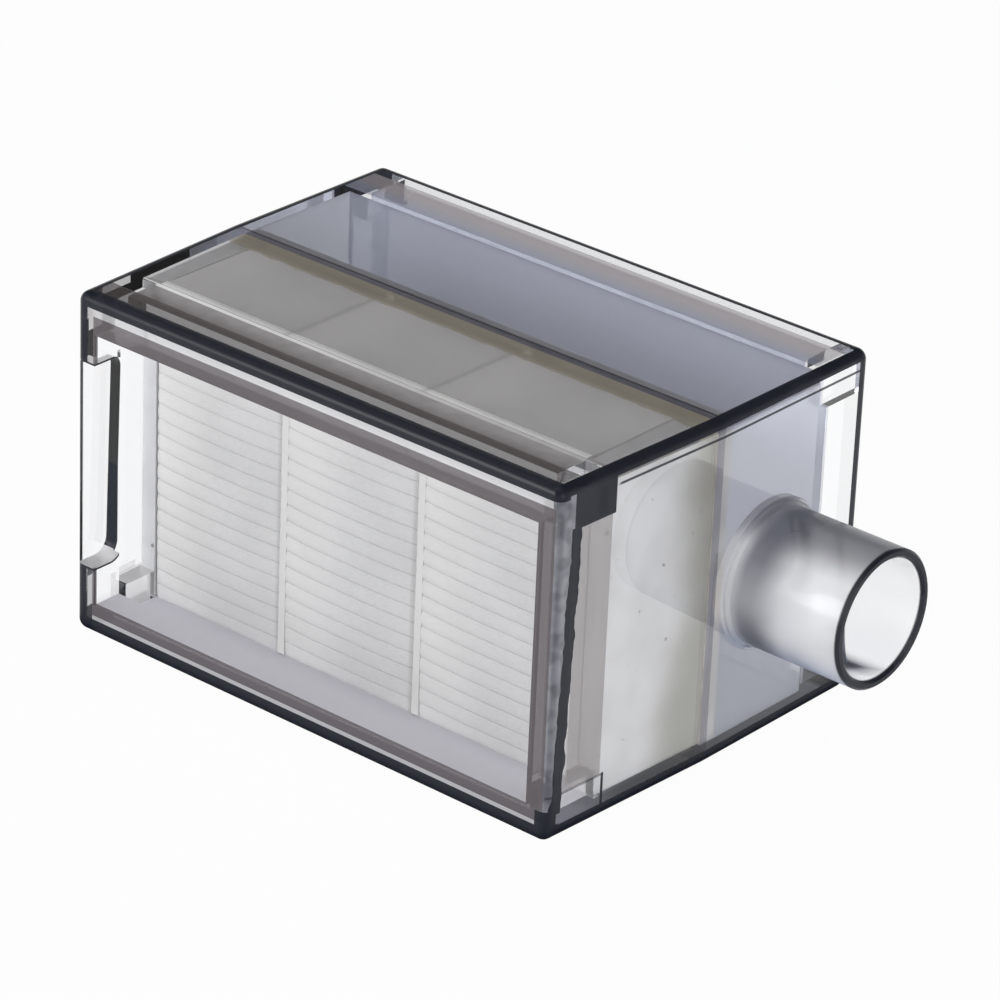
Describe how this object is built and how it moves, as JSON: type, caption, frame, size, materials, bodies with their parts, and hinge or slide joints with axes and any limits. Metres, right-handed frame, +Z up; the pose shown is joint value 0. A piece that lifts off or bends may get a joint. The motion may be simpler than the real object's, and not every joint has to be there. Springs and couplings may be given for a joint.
{
  "type": "oxygen concentrator inlet filter",
  "caption": "Clear plastic box filter for an oxygen concentrator's air inlet, with a pleated paper pack open at the front and a round outlet spigot on one end.",
  "frame": {"origin": "On the ground plane, under the middle of the whole outline, spigot included.", "axes": "+X along the box's long side, the way the spigot points; +Y from the open front to the back; +Z up."},
  "size_m": [0.1106, 0.0644, 0.0529],
  "materials": {
    "clear_plastic": "clear, glossy",
    "filter_paper": "matte, slightly fibrous",
    "card": "matte",
    "hot_melt": "waxy",
    "sealant": "dull"
  },
  "bodies": {
    "root": {"front_shell": "clear_plastic", "rear_shell": "clear_plastic", "pleated_media": "filter_paper", "side_card_left": "card", "side_card_right": "card", "separator_front_left": "hot_melt", "separator_front_right": "hot_melt", "separator_rear_left": "hot_melt", "separator_rear_right": "hot_melt", "sealant_bead": "sealant"}
  },
  "joints": []
}
